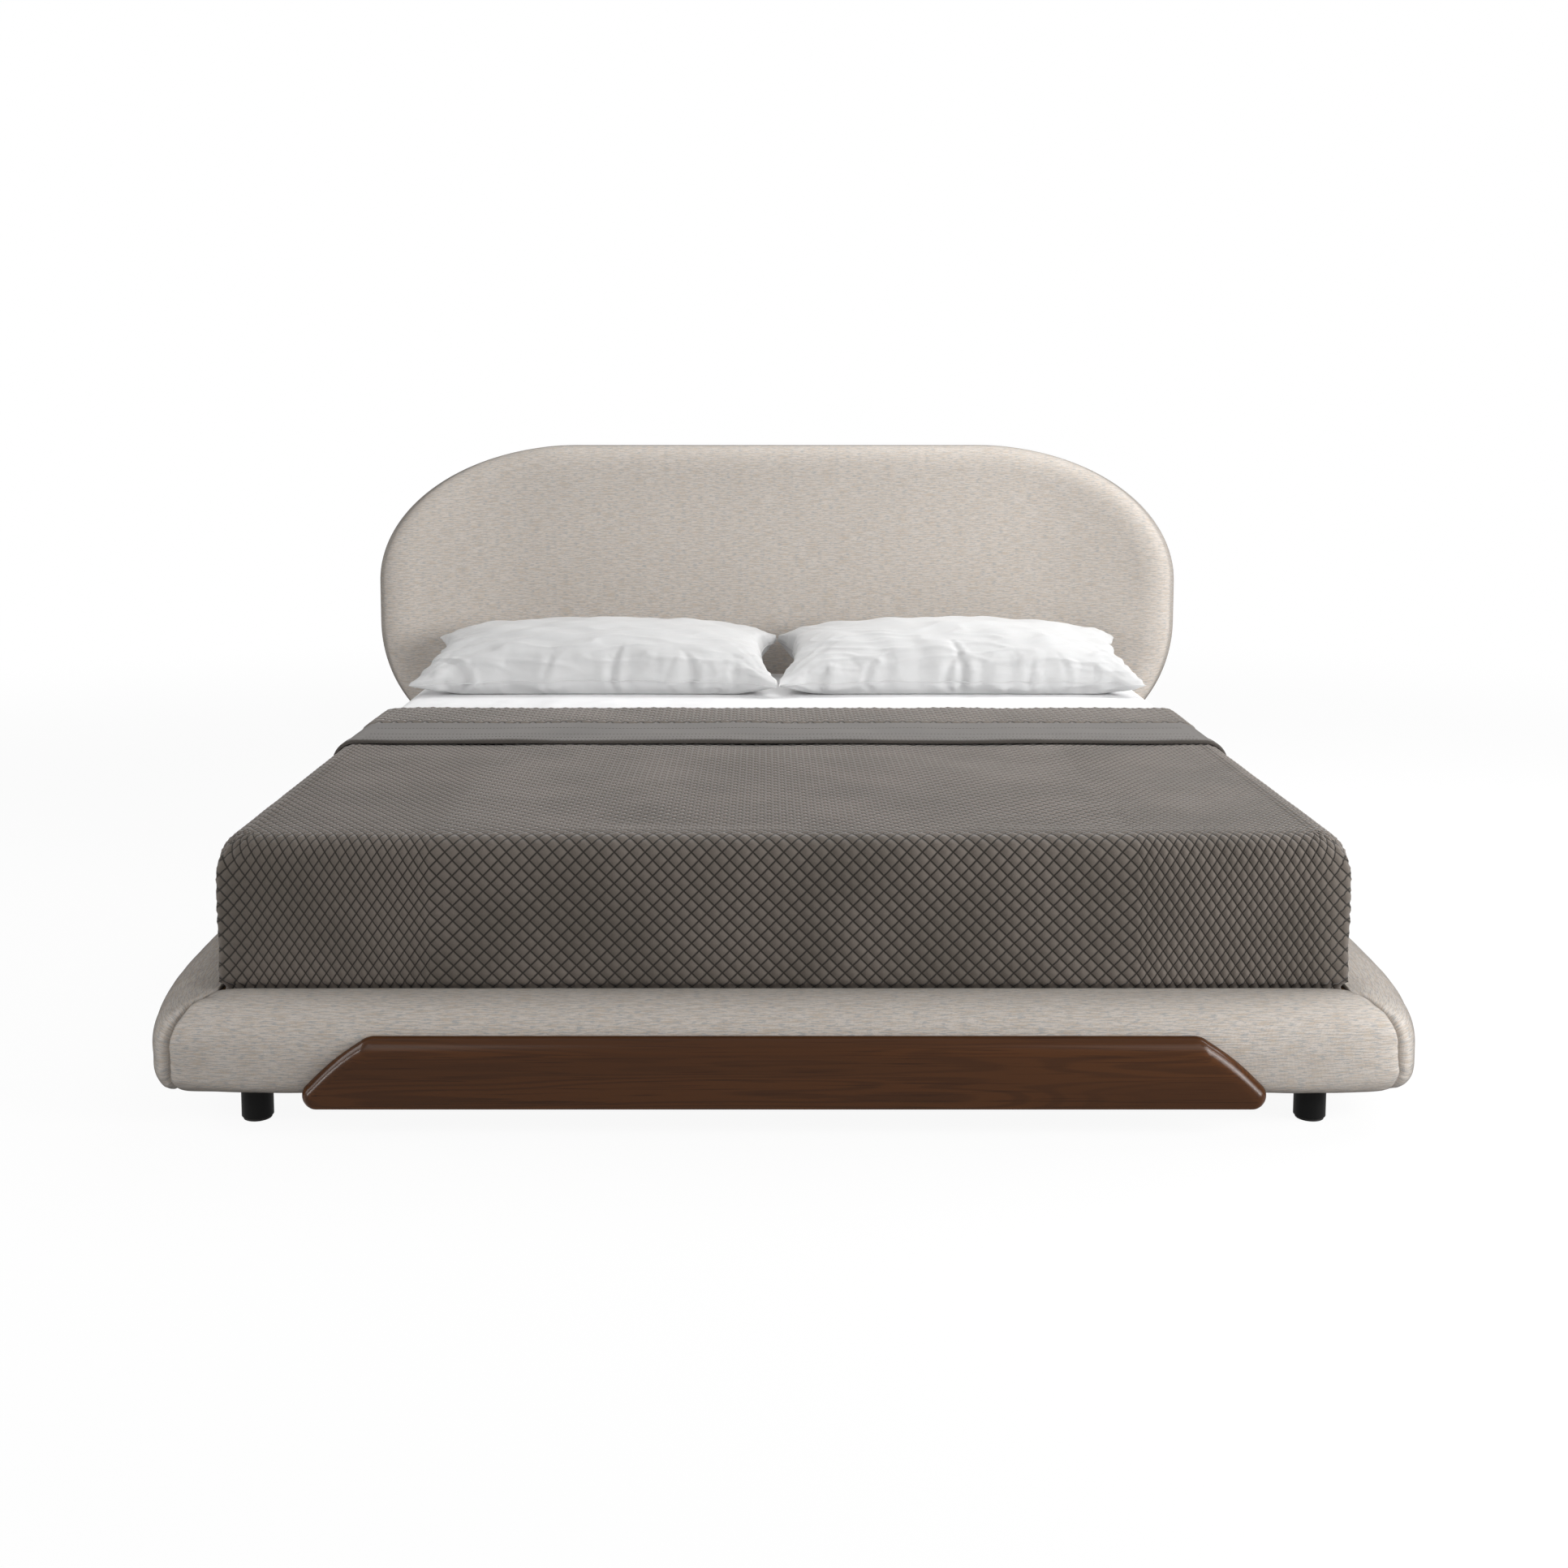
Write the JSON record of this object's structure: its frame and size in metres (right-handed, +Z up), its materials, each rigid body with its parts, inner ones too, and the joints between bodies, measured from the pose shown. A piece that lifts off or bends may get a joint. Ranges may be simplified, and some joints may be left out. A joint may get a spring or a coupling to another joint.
{
  "type": "upholstered bed",
  "caption": "Wide upholstered bed with a curved oval headboard, padded rails, a wood trim board, short black legs, slats, mattress, coverlet and pillows",
  "frame": {"origin": "on the floor, under the middle of the whole bed's box", "axes": "X across the bed, +Y towards the headboard, +Z up"},
  "size_m": [2.2702, 2.3308, 1.114],
  "materials": {
    "oatmeal_fabric": "heathered weave",
    "padding": "soft foam",
    "timber": "plain sanded",
    "walnut": "satin lacquer",
    "black_metal": "matte black",
    "steel": "zinc plated",
    "glide_plastic": "matte",
    "ticking": "quilted ticking",
    "white_cotton": "plain cotton",
    "quilted_cotton": "diamond quilting"
  },
  "bodies": {
    "frame": {"headboard_panel": "timber", "headboard_foam": "padding", "headboard_cover": "oatmeal_fabric", "headboard_back_panel": "oatmeal_fabric", "headboard_post_left": "black_metal", "headboard_post_right": "black_metal", "headboard_bolts": "steel", "head_rail_frame": "timber", "head_rail_cover": "oatmeal_fabric", "side_rail_frame_left": "timber", "side_rail_foam_left": "padding", "side_rail_cover_left": "oatmeal_fabric", "side_rail_frame_right": "timber", "side_rail_foam_right": "padding", "side_rail_cover_right": "oatmeal_fabric", "foot_rail_frame": "timber", "foot_rail_foam": "padding", "foot_rail_cover": "oatmeal_fabric", "foot_trim": "walnut", "trim_screws": "steel", "bracket_front_left": "steel", "bracket_front_right": "steel", "bracket_rear_left": "steel", "bracket_rear_right": "steel", "bracket_bolts": "steel", "leg_front_left": "black_metal", "leg_front_right": "black_metal", "leg_rear_left": "black_metal", "leg_rear_right": "black_metal", "leg_glides": "glide_plastic", "slat_ledger_left": "timber", "slat_ledger_right": "timber", "slat_01": "timber", "slat_02": "timber", "slat_03": "timber", "slat_04": "timber", "slat_05": "timber", "slat_06": "timber", "slat_07": "timber", "slat_08": "timber", "slat_09": "timber", "slat_10": "timber", "slat_screws": "steel", "centre_beam": "timber", "beam_hanger_front": "steel", "beam_hanger_rear": "steel", "centre_leg_front": "black_metal", "centre_leg_rear": "black_metal"},
    "mattress": {"mattress_core": "padding", "mattress_cover": "ticking", "fitted_sheet": "white_cotton", "coverlet": "quilted_cotton"},
    "pillow_left": {"pillow_case_left": "white_cotton", "pillow_insert_left": "padding"},
    "pillow_right": {"pillow_case_right": "white_cotton", "pillow_insert_right": "padding"},
    "foot_front": {"levelling_foot_front": "black_metal"},
    "foot_rear": {"levelling_foot_rear": "black_metal"}
  },
  "joints": [
    {"name": "mattress_lift", "type": "slide", "parent": "frame", "child": "mattress", "axis": [0, 0, 1], "range_m": [0, 0.35]},
    {"name": "pillow_left_lift", "type": "slide", "parent": "mattress", "child": "pillow_left", "axis": [0, 0, 1], "range_m": [0, 0.3]},
    {"name": "pillow_right_lift", "type": "slide", "parent": "mattress", "child": "pillow_right", "axis": [0, 0, 1], "range_m": [0, 0.3]},
    {"name": "foot_front_screw", "type": "slide", "parent": "frame", "child": "foot_front", "axis": [0, 0, 1], "range_m": [0, 0.012]},
    {"name": "foot_rear_screw", "type": "slide", "parent": "frame", "child": "foot_rear", "axis": [0, 0, 1], "range_m": [0, 0.012]}
  ]
}
